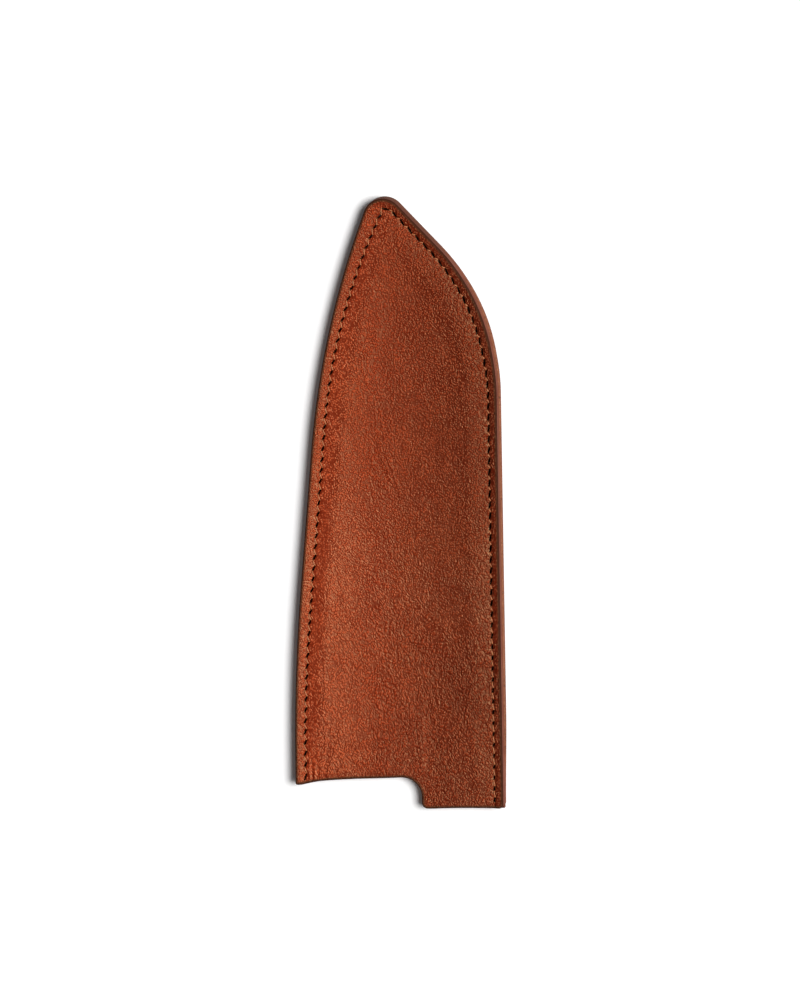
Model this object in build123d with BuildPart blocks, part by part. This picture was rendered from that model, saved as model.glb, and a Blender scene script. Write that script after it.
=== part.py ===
"""Leather sheath that guards the blade of a kitchen knife, lying flat with its tip along +Y.

Two leather panels are saddle stitched together down both sides and round the tip, over leather
welts that leave a flat pocket for the blade. The mouth is cut back at the spine side for the handle.
"""

import math
import os

from build123d import *

os.makedirs("parts", exist_ok=True)

# Overall size of the leather
sheath_length = 193.7
sheath_width = 66.7

# Layers, from the table up
back_thickness = 1.8
welt_thickness = 2.0
front_thickness = 1.8
edge_bevel = 0.45

tip_radius = 6.4

# Corners of the side curve before rounding: across from the spine side, and up from the heel
belly_low_shares = (0.9823, 0.709)
belly_high_shares = (0.9114, 0.85)
tip_shares = (0.4072, 1.0271)
shoulder_shares = (0.1387, 0.779)
spine_shares = (0.0, 0.222)

# How much of the shorter run beside a corner its rounding takes
belly_low_round_share = 0.2
belly_high_round_share = 0.72
shoulder_round_share = 0.76
spine_round_share = 0.7

# Mouth: the cut beside the spine rises a little towards the tab that covers the blade's heel
tab_width = 26.3
notch_depth_at_spine = 6.8
notch_depth_at_tab = 10.6
notch_radius = 5.0
tab_corner_radius = 2.0
heel_corner_radius = 1.2
mouth_corner_radius = 0.6

# Welt strips between the panels: they meet below the tip on the spine side
welt_width = 8.5
welt_joint_gap = 0.3
welt_joint_share = 0.86

# Hollow of the front panel between the welts, and the heights up from the heel of its sections
hollow_depth = 1.2
hollow_margin = 1.0
hollow_tip_margin = 7.0
hollow_section_shares = (0.2, 0.4, 0.58, 0.7, 0.79)

# Seam, and how far in it is: from the heel up the edge, over the tip, then down to the mouth
seam_inset_edge = 2.9
seam_inset_belly = 3.1
seam_inset_top = 2.9
seam_inset_tip = 5.2
seam_inset_shoulder = 3.0
seam_inset_spine = 3.6
seam_inset_mouth = 3.2
seam_tip_radius = 2.0
stitch_pitch = 3.5
first_stitch_above_mouth = 2.4
last_stitch_above_heel = 2.8
thread_size = 0.36
strand_spacing = 1.9
slit_clearance = 0.08
slit_slant = 22.0
thread_sides = 4
thread_gap = 0.04
front_groove_depth = 0.8
front_groove_floor = 1.5
front_groove_width = 2.8
back_groove_depth = 1.0
back_groove_floor = 2.3
back_groove_width = 3.2

# Cuts run this far past what they cut
overrun = 14.0

# Heights of the layers and of the threads: behind, a strand starts deep and ends over the next one
welt_bottom = back_thickness
front_bottom = welt_bottom + welt_thickness
front_top = front_bottom + front_thickness
thread_offset = thread_gap + thread_size / 2
front_strand_height = front_top - front_groove_depth + thread_offset
back_start_height = back_groove_depth - thread_offset
back_end_height = thread_offset
middle_height = front_top / 2

# Places of the outline, with the middle of the sheath at zero
spine_x = -sheath_width / 2
edge_x = sheath_width / 2
heel_y = -sheath_length / 2
tab_x = edge_x - tab_width
spine_mouth_y = heel_y + notch_depth_at_spine
tab_mouth_y = heel_y + notch_depth_at_tab
mouth_slope = (tab_mouth_y - spine_mouth_y) / (tab_x - spine_x)
below_mouth_y = heel_y - welt_width - overrun


def place(shares):
    """Point of the sheath for its shares across from the spine side and up from the heel."""
    across, up = shares
    return (spine_x + across * sheath_width, heel_y + up * sheath_length)


def rounding(before, corner, after, round_share):
    """Radius of a corner's rounding that takes a share of the shorter run beside it."""
    run_in = Vector(*corner) - Vector(*before)
    run_out = Vector(*after) - Vector(*corner)
    half_turn = math.radians(run_in.get_angle(run_out)) / 2
    return round_share * min(run_in.length, run_out.length) / math.tan(half_turn)


def inset_corner(before, corner, after, inset_in, inset_out):
    """Corner of a line that lies to the right of two runs, at its own distance from each."""
    along_in = (Vector(*corner) - Vector(*before)).normalized()
    along_out = (Vector(*after) - Vector(*corner)).normalized()
    turn = along_in.cross(along_out).Z
    moved = Vector(*corner) + along_in * (inset_out / turn) - along_out * (inset_in / turn)
    return (moved.X, moved.Y)


below_heel = (edge_x, below_mouth_y)
heel = (edge_x, heel_y)
belly_low = place(belly_low_shares)
belly_high = place(belly_high_shares)
tip = place(tip_shares)
shoulder = place(shoulder_shares)
spine = place(spine_shares)
spine_mouth = (spine_x, spine_mouth_y)
below_spine = (spine_x, below_mouth_y)

side_corners = [
    below_heel,
    heel,
    belly_low,
    belly_high,
    tip,
    shoulder,
    spine,
    below_spine,
]
side_radii = [
    0,
    rounding(heel, belly_low, belly_high, belly_low_round_share),
    rounding(belly_low, belly_high, tip, belly_high_round_share),
    tip_radius,
    rounding(tip, shoulder, spine, shoulder_round_share),
    rounding(shoulder, spine, spine_mouth, spine_round_share),
]

# Side curve, as if the leather ran on past the mouth
with BuildSketch() as long_outline:
    with BuildLine():
        side = FilletPolyline(*side_corners, radius=side_radii)
        Line(side @ 1, side @ 0)
    make_face()

# Leather cut away at the mouth
with BuildSketch() as mouth_waste:
    with BuildLine():
        mouth = FilletPolyline(
            (spine_x - overrun, spine_mouth_y - mouth_slope * overrun),
            (tab_x, tab_mouth_y),
            (tab_x, heel_y),
            (edge_x + overrun, heel_y),
            radius=[notch_radius, tab_corner_radius],
        )
        Polyline(
            mouth @ 1,
            (edge_x + overrun, below_mouth_y - overrun),
            (spine_x - overrun, below_mouth_y - overrun),
            mouth @ 0,
        )
    make_face()

# Both panels have this outline
with BuildSketch() as panel_outline:
    add(long_outline.sketch)
    add(mouth_waste.sketch, mode=Mode.SUBTRACT)
    heel_corner = panel_outline.vertices().sort_by(Axis.Y)[:2].sort_by(Axis.X)[-1]
    fillet(heel_corner, heel_corner_radius)
    mouth_corner = panel_outline.vertices().sort_by(Axis.X)[:2].sort_by(Axis.Y)[0]
    fillet(mouth_corner, mouth_corner_radius)

# Room for the blade, running on past the mouth
with BuildSketch() as pocket_outline:
    add(long_outline.sketch)
    offset(amount=-welt_width, kind=Kind.INTERSECTION, mode=Mode.REPLACE)

# Seam line, from the mouth at the spine side round the tip to the heel
seam_spine = inset_corner(below_spine, spine, shoulder, seam_inset_mouth, seam_inset_spine)
seam_shoulder = inset_corner(spine, shoulder, tip, seam_inset_spine, seam_inset_shoulder)
seam_tip_corner = inset_corner(shoulder, tip, belly_high, seam_inset_tip, seam_inset_top)
seam_high = inset_corner(tip, belly_high, belly_low, seam_inset_top, seam_inset_belly)
seam_low = inset_corner(belly_high, belly_low, heel, seam_inset_belly, seam_inset_edge)
seam_heel = inset_corner(belly_low, heel, below_heel, seam_inset_edge, seam_inset_edge)
seam_mouth_x = seam_spine[0]
seam_corners = [
    (seam_mouth_x, below_mouth_y),
    seam_spine,
    seam_shoulder,
    seam_tip_corner,
    seam_high,
    seam_low,
    seam_heel,
    (seam_heel[0], below_mouth_y),
]
seam_radii = [
    rounding((seam_mouth_x, spine_mouth_y), seam_spine, seam_shoulder, spine_round_share),
    rounding(seam_spine, seam_shoulder, seam_tip_corner, shoulder_round_share),
    seam_tip_radius,
    rounding(seam_tip_corner, seam_high, seam_low, belly_high_round_share),
    rounding(seam_high, seam_low, seam_heel, belly_low_round_share),
    0,
]
with BuildLine() as seam_line:
    FilletPolyline(*seam_corners, radius=seam_radii)
seam = seam_line.wires()[0]

# Distances along the seam: its ends on the leather, and the middle of its turn at the tip
seam_start = spine_mouth_y - below_mouth_y + first_stitch_above_mouth
seam_end = seam.length - (heel_y - below_mouth_y + last_stitch_above_heel)
tip_turn = seam.edges().filter_by(GeomType.CIRCLE).sort_by(SortBy.RADIUS)[0]
tip_share = seam.param_at_point(tip_turn @ 0.5)
seam_tip = tip_share * seam.length

# Holes, evenly spaced each way from the one at the tip
spine_stitches = round((seam_tip - seam_start) / stitch_pitch)
edge_stitches = round((seam_end - seam_tip) / stitch_pitch)
spine_step = (seam_tip - seam_start) / spine_stitches
edge_step = (seam_end - seam_tip) / edge_stitches
hole_distances = [seam_start + number * spine_step for number in range(spine_stitches)]
hole_distances += [seam_tip + number * edge_step for number in range(edge_stitches + 1)]
print("stitches:", spine_stitches, "and", edge_stitches)


def slit_place(distance):
    """Middle of the slit at a distance along the seam, turned to the slit's direction."""
    middle = seam.position_at(distance, position_mode=PositionMode.LENGTH)
    along = seam.tangent_at(distance, position_mode=PositionMode.LENGTH)
    heading = math.degrees(math.atan2(along.Y, along.X)) - slit_slant
    return Location((middle.X, middle.Y), heading)


slit_places = [slit_place(distance) for distance in hole_distances]
slit_length = strand_spacing + thread_size + 2 * slit_clearance
slit_width = thread_size + 2 * slit_clearance

with BuildSketch() as slits:
    with Locations(*slit_places):
        Rectangle(slit_length, slit_width)


def groove(face, floor, floor_width, width):
    """Groove along the whole seam, from its floor to the panel's face and as far again past it."""
    seam_x = seam.position_at(0).X
    floor_half = floor_width / 2
    far_half = width - floor_half
    far = 2 * face - floor
    with BuildPart() as cutter:
        with BuildSketch(Plane.XZ.offset(-below_mouth_y)):
            with BuildLine():
                Polyline(
                    (seam_x - floor_half, floor),
                    (seam_x + floor_half, floor),
                    (seam_x + far_half, far),
                    (seam_x - far_half, far),
                    close=True,
                )
            make_face()
        sweep(path=seam)
    return cutter.part


def pocket_span(height):
    """Least and greatest X of the pocket at a height along Y."""
    with BuildLine() as level:
        Line((spine_x - overrun, height), (edge_x + overrun, height))
    inside = (level.line & pocket_outline.sketch).bounding_box()
    return inside.min.X + hollow_margin, inside.max.X - hollow_margin


def hollow(face, rise):
    """Shallow trough between the welts: its rim lies on a face, and a rise above it is included."""
    pocket_top = pocket_outline.sketch.bounding_box().max.Y
    heights = [
        heel_y - overrun / 2,
        *[heel_y + share * sheath_length for share in hollow_section_shares],
        pocket_top - hollow_tip_margin,
    ]
    widest = sheath_width - 2 * welt_width
    with BuildPart() as trough:
        for height in heights:
            left, right = pocket_span(height)
            depth = hollow_depth * (right - left) / widest
            with BuildSketch(Plane.XZ.offset(-height)):
                with BuildLine():
                    ThreePointArc((left, face), ((left + right) / 2, face - depth), (right, face))
                    Polyline((right, face), (right, face + rise), (left, face + rise), (left, face))
                make_face()
        loft()
    return trough.part


front_floor_height = front_top - front_groove_depth
front_groove = groove(front_top, front_floor_height, front_groove_floor, front_groove_width)
back_groove = groove(0, back_groove_depth, back_groove_floor, back_groove_width)
upper_hollow = hollow(front_top, front_thickness)
lower_hollow = hollow(front_bottom, front_thickness / 2)

# Back panel: flat on the table
with BuildPart() as back_panel:
    add(panel_outline.sketch)
    extrude(amount=back_thickness)
    chamfer(back_panel.faces().sort_by(Axis.Z)[0].edges(), edge_bevel)
    add(back_groove, mode=Mode.SUBTRACT)
    add(slits.sketch)
    extrude(amount=front_top, mode=Mode.SUBTRACT)
back_panel.part.label = "back_panel"

# Front panel: sinks into the pocket between the welts
with BuildPart() as front_panel:
    with BuildSketch(Plane.XY.offset(front_bottom)):
        add(panel_outline.sketch)
    extrude(amount=front_thickness)
    chamfer(front_panel.faces().sort_by(Axis.Z)[-1].edges(), edge_bevel)
    add(lower_hollow)
    add(mouth_waste.sketch)
    extrude(amount=front_top, mode=Mode.SUBTRACT)
    add(upper_hollow, mode=Mode.SUBTRACT)
    add(front_groove, mode=Mode.SUBTRACT)
    add(slits.sketch)
    extrude(amount=front_top, mode=Mode.SUBTRACT)
front_panel.part.label = "front_panel"

# Both welts before they are cut apart
with BuildSketch() as welt_outline:
    add(long_outline.sketch)
    add(pocket_outline.sketch, mode=Mode.SUBTRACT)
    add(mouth_waste.sketch, mode=Mode.SUBTRACT)
    add(slits.sketch, mode=Mode.SUBTRACT)

welt_joint_y = heel_y + welt_joint_share * sheath_length
spine_half = (0, welt_joint_y)
spine_half_size = (sheath_width / 2 + overrun, sheath_length)

# Welt of the spine side, from the mouth to the joint
with BuildPart() as spine_welt:
    with BuildSketch(Plane.XY.offset(welt_bottom)):
        add(welt_outline.sketch)
        with Locations(spine_half):
            Rectangle(*spine_half_size, align=(Align.MAX, Align.MAX), mode=Mode.INTERSECT)
    extrude(amount=welt_thickness)
spine_welt.part.label = "spine_welt"

# Welt of the cutting edge's side, from the heel round the tip to the joint
with BuildPart() as edge_welt:
    with BuildSketch(Plane.XY.offset(welt_bottom)):
        add(welt_outline.sketch)
        with Locations((0, welt_joint_y + welt_joint_gap)):
            Rectangle(*spine_half_size, align=(Align.MAX, Align.MAX), mode=Mode.SUBTRACT)
    extrude(amount=welt_thickness)
edge_welt.part.label = "edge_welt"


def strand_ends(place_on_seam):
    """Ends of a slit where the threads pass: towards the seam's start, then towards its end."""
    half = strand_spacing / 2
    near = (place_on_seam * Location((-half, 0))).position
    far = (place_on_seam * Location((half, 0))).position
    return near, far


def thread(starts_in_front):
    """One thread of the saddle stitch: front and back by turns, through every slit."""
    points = []
    in_front = starts_in_front
    for slit in slit_places:
        near, far = strand_ends(slit)
        if in_front:
            points.append((near.X, near.Y, front_strand_height))
            points.append((near.X, near.Y, back_start_height))
        else:
            points.append((far.X, far.Y, back_end_height))
            points.append((far.X, far.Y, front_strand_height))
        in_front = not in_front
    first_x, first_y, _ = points[0]
    last_x, last_y, _ = points[-1]
    points[0] = (first_x, first_y, middle_height)
    points[-1] = (last_x, last_y, middle_height)
    with BuildPart() as strand:
        with BuildLine() as route:
            Polyline(*points)
        with BuildSketch(Plane(origin=route.line @ 0, z_dir=route.line % 0)):
            RegularPolygon(radius=thread_size / 2, side_count=thread_sides)
        sweep(path=route.line, transition=Transition.RIGHT)
    return strand.part


pieces = {
    "back_panel": back_panel.part,
    "spine_welt": spine_welt.part,
    "edge_welt": edge_welt.part,
    "front_panel": front_panel.part,
    "first_thread": thread(starts_in_front=False),
    "second_thread": thread(starts_in_front=True),
}
for name, piece in pieces.items():
    piece.label = name
    export_step(piece, f"parts/{name}.step")
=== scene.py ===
"""Looks of a leather sheath for a kitchen knife's blade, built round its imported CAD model.

Lengths are in millimetres. They become metres where a mesh or the camera is made, and places and
distances along axes in the materials are metres too.
"""

import math

import bpy
import numpy as np
from mathutils import Matrix, Vector
from mathutils.geometry import delaunay_2d_cdt


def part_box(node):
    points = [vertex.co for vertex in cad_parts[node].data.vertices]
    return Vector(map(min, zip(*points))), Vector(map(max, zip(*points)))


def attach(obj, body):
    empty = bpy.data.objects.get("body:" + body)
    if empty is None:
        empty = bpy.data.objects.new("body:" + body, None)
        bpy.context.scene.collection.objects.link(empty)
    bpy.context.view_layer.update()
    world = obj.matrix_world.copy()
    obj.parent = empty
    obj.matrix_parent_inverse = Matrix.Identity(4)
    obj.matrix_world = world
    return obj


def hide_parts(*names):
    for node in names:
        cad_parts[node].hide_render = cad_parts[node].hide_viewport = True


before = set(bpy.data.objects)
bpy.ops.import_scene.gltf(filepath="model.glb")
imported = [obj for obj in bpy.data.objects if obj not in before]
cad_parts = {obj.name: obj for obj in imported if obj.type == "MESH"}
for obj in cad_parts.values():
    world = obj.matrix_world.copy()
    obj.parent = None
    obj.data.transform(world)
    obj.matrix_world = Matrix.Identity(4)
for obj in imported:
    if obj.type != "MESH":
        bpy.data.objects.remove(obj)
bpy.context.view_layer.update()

rng = np.random.default_rng(7)
MM = 0.001

# Places of the CAD model
back_low, back_high = [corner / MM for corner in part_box("back_panel")]
welt_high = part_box("edge_welt")[1] / MM
front_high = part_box("front_panel")[1] / MM
spine_x = back_low.x
edge_x = back_high.x
heel_y = back_low.y
back_top = back_high.z
front_bottom = welt_high.z
front_top = front_high.z
sheath_width = edge_x - spine_x

# Outline, as in the CAD model apart from the notch's and the heel's rounding
sheath_length = 193.7
tip_radius = 6.4
belly_low_shares = (0.9823, 0.709)
belly_high_shares = (0.9114, 0.85)
tip_shares = (0.4072, 1.0271)
shoulder_shares = (0.1387, 0.779)
spine_shares = (0.0, 0.222)
belly_low_round_share = 0.2
belly_high_round_share = 0.72
shoulder_round_share = 0.76
spine_round_share = 0.7
tab_width = 26.3
notch_depth_at_spine = 6.8
notch_depth_at_tab = 10.6
notch_radius = 6.2
tab_corner_radius = 2.0
heel_corner_radius = 1.5
mouth_corner_radius = 0.6
overrun = 14.0

# Welts, hollow and seam, as in the CAD model
welt_width = 8.5
hollow_margin = 1.0
seam_inset_edge = 2.9
seam_inset_belly = 3.1
seam_inset_top = 2.9
seam_inset_tip = 5.2
seam_inset_shoulder = 3.0
seam_inset_spine = 3.6
seam_inset_mouth = 3.2
seam_tip_radius = 2.0
stitch_pitch = 3.5
first_stitch_above_mouth = 2.4
last_stitch_above_heel = 2.8
thread_size = 0.36
slit_slant = 22.0
thread_gap = 0.04
front_groove_depth = 0.8
back_groove_depth = 1.0

# Leather forms that only the looks have
rim_radius = 0.55
rim_raise = 0.25
flange_slope_depth = 0.8
plateau_drop = 0.4
inner_slope_width = 5.3
outer_slope_power = 1.1
inner_slope_power = 1.6
end_groove_loss = 0.5
end_groove_start = 0.5
end_groove_full = 3.0
sag_depth = 1.8
sag_fade_below_tip = 16
edge_slit_slant = 11.0
slit_length_spine = 2.4
slit_length_edge_high = 3.0
slit_length_edge_low = 2.0
slit_long_y = 0
slit_short_y = -70
slit_width = 0.56
strand_inset = 0.14
strand_arch = 0.1
pinch_depth = 0.26
pinch_width = 0.45
lip_height = 0.28
lip_level = 0.35
broad_swell = 0.06
small_swell = 0.03
wall_bulge = 0.05
lip_place = 0.6
lip_width = 0.42
back_groove_reach = 1.9
edge_band = 0.46
far_away = 9.0
back_flare = 0.5
mouth_lift = 0.85
mouth_lift_reach = 15.0
notch_drop = 0.85
notch_drop_x = 2.0
notch_drop_width = 14.0
notch_drop_height = 22
corner_sag = 0.75
corner_sag_reach = 4.2
corner_sag_inset = 1.5
mouth_wave_depth = 0.34
mouth_wave_length = 20.5
mouth_wave_start = 27.5
mouth_wave_reach = 11
mouth_wave_share = 0.6
flare_reach = 1.6
flare_above_heel = 30
flare_fade_low = 55
flare_fade_high = 85
fold_shoulder = 0.45
fold_shoulder_place = 1.6

# Colours that the material functions hold
flesh_colour = (0.28, 0.1, 0.055, 1.0)
white = (1.0, 1.0, 1.0, 1.0)
floor_colour = (0.86, 0.86, 0.86, 1.0)
# Nearly black: painted shade inside the slits
painted_slit_shade = (0.004, 0.002, 0.001, 1.0)
# Pale pink-tan: a painted highlight on pebble tops at the spine side
painted_highlight_colour = (0.46, 0.1, 0.036, 1.0)
thread_dark = (0.36, 0.1, 0.03, 1.0)
thread_light = (0.58, 0.22, 0.085, 1.0)

# Spacing of mesh points
outline_step = 0.3
seam_step = 0.3
field_step = 0.5
plain_step = 2.2
thread_step = 0.3
seam_reach_in = 3.0
seam_reach = 2.3
rim_margin = 0.6
field_margin = 3.2
slit_margin = 0.42
heading_reach = 0.2
rim_rows = (0.05, 0.14, 0.27, 0.42)
slit_rows = ((0.09, 22), (0.2, 24), (0.34, 26))
wall_rings = (0.15, 0.5, 0.85)

# Camera, as the photograph has it
view_right = math.radians(10.5)
view_up = math.radians(9.0)
view_roll = math.radians(-0.5)
frame_height = 315.0
camera_distance = 8000.0
sensor_height = 36.0
aim = (0.0, 0.15, 0.0)
photo_pixel = 0.315
photo_origin = (400.0, 500.5)


def on_leather(pixel, height=5.2):
    """Place on the sheath that a pixel of the photograph shows, at a height above the table."""
    right = (pixel[0] - photo_origin[0]) * photo_pixel
    up = (photo_origin[1] - pixel[1]) * photo_pixel
    cos, sin = math.cos(view_roll), math.sin(view_roll)
    right, up = right * cos - up * sin, right * sin + up * cos
    across = right / math.cos(view_right) + height * math.tan(view_right)
    along = up / math.cos(view_up) + across * math.sin(view_right) * math.tan(view_up)
    return across, along + height * math.tan(view_up) * math.cos(view_right)


def place(shares):
    """Point of the sheath for its shares across from the spine side and up from the heel."""
    across, up = shares
    return (spine_x + across * sheath_width, heel_y + up * sheath_length)


def unit(vector):
    return vector / np.linalg.norm(vector)


def runs(before, corner, after):
    """Directions of a line's runs into a corner and out of it."""
    return unit(np.subtract(corner, before)), unit(np.subtract(after, corner))


def half_turn(before, corner, after):
    """Half the angle that a line turns by at a corner."""
    run_in, run_out = runs(before, corner, after)
    return math.acos(float(np.clip(run_in @ run_out, -1, 1))) / 2


def rounding(before, corner, after, round_share):
    """Radius of a corner's rounding that takes a share of the shorter run beside it."""
    shorter = min(math.dist(before, corner), math.dist(corner, after))
    return round_share * shorter / math.tan(half_turn(before, corner, after))


def inset_corner(before, corner, after, inset_in, inset_out):
    """Corner of a line that lies to the right of two runs, at its own distance from each."""
    along_in, along_out = runs(before, corner, after)
    turn = along_in[0] * along_out[1] - along_in[1] * along_out[0]
    return corner + along_in * (inset_out / turn) - along_out * (inset_in / turn)


def rounded_corner(before, corner, after, radius, step):
    """Points of the arc that rounds a corner."""
    if radius == 0:
        return [np.array(corner, float)]
    half = half_turn(before, corner, after)
    run_in, run_out = runs(before, corner, after)
    start = corner - run_in * radius * math.tan(half)
    turn = math.copysign(1, run_in[0] * run_out[1] - run_in[1] * run_out[0])
    centre = start + turn * radius * np.array((-run_in[1], run_in[0]))
    count = max(4, round(2 * half * radius / step))
    arm = start - centre
    points = []
    for angle in np.linspace(0, turn * 2 * half, count):
        cos, sin = math.cos(angle), math.sin(angle)
        points.append(centre + (arm[0] * cos - arm[1] * sin, arm[0] * sin + arm[1] * cos))
    return points


def spaced(points, step):
    """The same line with its long runs divided into steps."""
    result = [points[0]]
    for start, end in zip(points, points[1:]):
        count = max(1, round(math.dist(start, end) / step))
        result += [start + (end - start) * number / count for number in range(1, count + 1)]
    return np.array(result)


def rounded_line(corners, radii, step):
    """Open line through corners, its inner corners rounded."""
    points = [np.array(corners[0], float)]
    for before, corner, after, radius in zip(corners, corners[1:], corners[2:], radii):
        points += rounded_corner(before, corner, after, radius, step)
    points.append(np.array(corners[-1], float))
    return spaced(points, step)


def rounded_loop(corners, radii, step):
    """Closed line round corners, every corner rounded. Its last point isn't its first again."""
    points = []
    for number, radius in enumerate(radii):
        before, corner, after = (corners[(number + turn) % len(corners)] for turn in (-1, 0, 1))
        points += rounded_corner(before, corner, after, radius, step)
    return spaced(points + points[:1], step)[:-1]


def left_normals(line):
    """Unit vectors to the left of an open line at its points."""
    along = np.gradient(line, axis=0)
    along /= np.linalg.norm(along, axis=1)[:, None]
    return np.column_stack((-along[:, 1], along[:, 0]))


def lengths_along(line):
    """Distance along a line at each of its points."""
    steps = np.linalg.norm(np.diff(line, axis=0), axis=1)
    return np.concatenate(([0], np.cumsum(steps)))


def measured(points, line, chunk=4000):
    """Signed distance of points from a line, positive on its left, and how far along it."""
    along = lengths_along(line)
    sides = []
    places = []
    for first in range(0, len(points), chunk):
        some = points[first : first + chunk]
        square = (some**2).sum(1)[:, None] + (line**2).sum(1)[None] - 2 * some @ line.T
        nearest = square.argmin(1)
        best = np.full(len(some), np.inf)
        side = np.zeros(len(some))
        where = np.zeros(len(some))
        for shift in (-1, 0):
            start = np.clip(nearest + shift, 0, len(line) - 2)
            run = line[start + 1] - line[start]
            square_run = (run**2).sum(1)
            offset = some - line[start]
            share = np.clip((offset * run).sum(1) / square_run, 0, 1)
            gap = offset - share[:, None] * run
            distance = np.linalg.norm(gap, axis=1)
            turn = np.sign(run[:, 0] * offset[:, 1] - run[:, 1] * offset[:, 0])
            closer = distance < best
            best = np.where(closer, distance, best)
            side = np.where(closer, turn * distance, side)
            where = np.where(closer, along[start] + share * np.sqrt(square_run), where)
        sides.append(side)
        places.append(where)
    return np.concatenate(sides), np.concatenate(places)


def smooth(low, high, value):
    """Rises smoothly from 0 at low to 1 at high."""
    share = np.clip((value - low) / (high - low), 0, 1)
    return share * share * (3 - 2 * share)


# Lines of the sheath
tab_x = edge_x - tab_width
tab_mouth_y = heel_y + notch_depth_at_tab
below_mouth_y = heel_y - welt_width - overrun
mouth_rise = (notch_depth_at_tab - notch_depth_at_spine) / (tab_x - spine_x)
spine_mouth_y = heel_y + notch_depth_at_spine

heel = (edge_x, heel_y)
belly_low = place(belly_low_shares)
belly_high = place(belly_high_shares)
tip = place(tip_shares)
shoulder = place(shoulder_shares)
spine = place(spine_shares)
spine_end = (spine_x, spine_mouth_y)
round_radii = [
    rounding(heel, belly_low, belly_high, belly_low_round_share),
    rounding(belly_low, belly_high, tip, belly_high_round_share),
    tip_radius,
    rounding(tip, shoulder, spine, shoulder_round_share),
    rounding(shoulder, spine, spine_end, spine_round_share),
]
side_corners = [belly_low, belly_high, tip, shoulder, spine]
side = rounded_line(
    [(edge_x, below_mouth_y), heel, *side_corners, (spine_x, below_mouth_y)],
    [0, *round_radii],
    outline_step,
)
outline = rounded_loop(
    [(spine_x, spine_mouth_y), (tab_x, tab_mouth_y), (tab_x, heel_y), heel, *side_corners],
    [mouth_corner_radius, notch_radius, tab_corner_radius, heel_corner_radius, *round_radii],
    outline_step,
)
closed_outline = np.vstack((outline, outline[:1]))

# Seam line, from the mouth at the spine side round the tip to the heel
below_spine = (spine_x, below_mouth_y)
below_heel = (edge_x, below_mouth_y)
seam_spine = inset_corner(below_spine, spine, shoulder, seam_inset_mouth, seam_inset_spine)
seam_shoulder = inset_corner(spine, shoulder, tip, seam_inset_spine, seam_inset_shoulder)
seam_tip_corner = inset_corner(shoulder, tip, belly_high, seam_inset_tip, seam_inset_top)
seam_high = inset_corner(tip, belly_high, belly_low, seam_inset_top, seam_inset_belly)
seam_low = inset_corner(belly_high, belly_low, heel, seam_inset_belly, seam_inset_edge)
seam_heel = inset_corner(belly_low, heel, below_heel, seam_inset_edge, seam_inset_edge)
seam_mouth = (seam_spine[0], spine_mouth_y)
seam = rounded_line(
    [
        (seam_spine[0], below_mouth_y),
        seam_spine,
        seam_shoulder,
        seam_tip_corner,
        seam_high,
        seam_low,
        seam_heel,
        (seam_heel[0], below_mouth_y),
    ],
    [
        rounding(seam_mouth, seam_spine, seam_shoulder, spine_round_share),
        rounding(seam_spine, seam_shoulder, seam_tip_corner, shoulder_round_share),
        seam_tip_radius,
        rounding(seam_tip_corner, seam_high, seam_low, belly_high_round_share),
        rounding(seam_high, seam_low, seam_heel, belly_low_round_share),
        0,
    ],
    outline_step,
)
seam_lengths = lengths_along(seam)
tip_arc = rounded_corner(seam_shoulder, seam_tip_corner, seam_high, seam_tip_radius, 0.05)
tip_middle = np.array([tip_arc[len(tip_arc) // 2]])
seam_tip = measured(tip_middle, seam)[1][0]
seam_start = spine_mouth_y - below_mouth_y + first_stitch_above_mouth
seam_end = seam_lengths[-1] - (heel_y - below_mouth_y + last_stitch_above_heel)
spine_stitches = round((seam_tip - seam_start) / stitch_pitch)
edge_stitches = round((seam_end - seam_tip) / stitch_pitch)
hole_distances = np.concatenate(
    (
        np.linspace(seam_start, seam_tip, spine_stitches + 1)[:-1],
        np.linspace(seam_tip, seam_end, edge_stitches + 1),
    )
)


def on_seam(distances):
    """Points of the seam line and its directions at distances along it."""

    def at(where):
        return np.column_stack([np.interp(where, seam_lengths, seam[:, k]) for k in (0, 1)])

    along = at(distances + heading_reach) - at(distances - heading_reach)
    return at(distances), along / np.linalg.norm(along, axis=1)[:, None]


def turned(vectors, degrees):
    """Flat vectors turned to the left by an angle."""
    cos, sin = np.cos(np.radians(degrees)), np.sin(np.radians(degrees))
    x, y = vectors[:, 0], vectors[:, 1]
    return np.column_stack((x * cos - y * sin, x * sin + y * cos))


slit_middles, seam_directions = on_seam(hole_distances)
slants = np.where(hole_distances < seam_tip + stitch_pitch / 2, slit_slant, edge_slit_slant)
slit_directions = turned(seam_directions, -slants)
slit_normals = turned(slit_directions, 90)
high_share = smooth(slit_short_y, slit_long_y, slit_middles[:, 1])
edge_lengths = slit_length_edge_low + (slit_length_edge_high - slit_length_edge_low) * high_share
slit_halves = np.where(hole_distances < seam_tip, slit_length_spine, edge_lengths) / 2
strand_halves = slit_halves - strand_inset
strand_swings = strand_halves * np.sin(np.radians(slants))


def slit_loop(number, grow=0.0, count=18):
    """Pointed oval round a slit."""
    angles = np.linspace(0, 2 * math.pi, count, endpoint=False)
    half_length = slit_halves[number] + grow
    half_width = slit_width / 2 + grow
    along = half_length * np.cos(angles)
    across = half_width * np.sin(angles) * np.abs(np.sin(angles)) ** 0.3
    direction, normal = slit_directions[number], slit_normals[number]
    return slit_middles[number] + along[:, None] * direction + across[:, None] * normal


def slit_distance(points, along_seam):
    """How far points are past the end of the nearest slit, and across it."""
    number = np.abs(along_seam[:, None] - hole_distances[None]).argmin(1)
    offset = points - slit_middles[number]
    return (
        np.abs((offset * slit_directions[number]).sum(1)) - slit_halves[number],
        (offset * slit_normals[number]).sum(1),
    )


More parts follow.
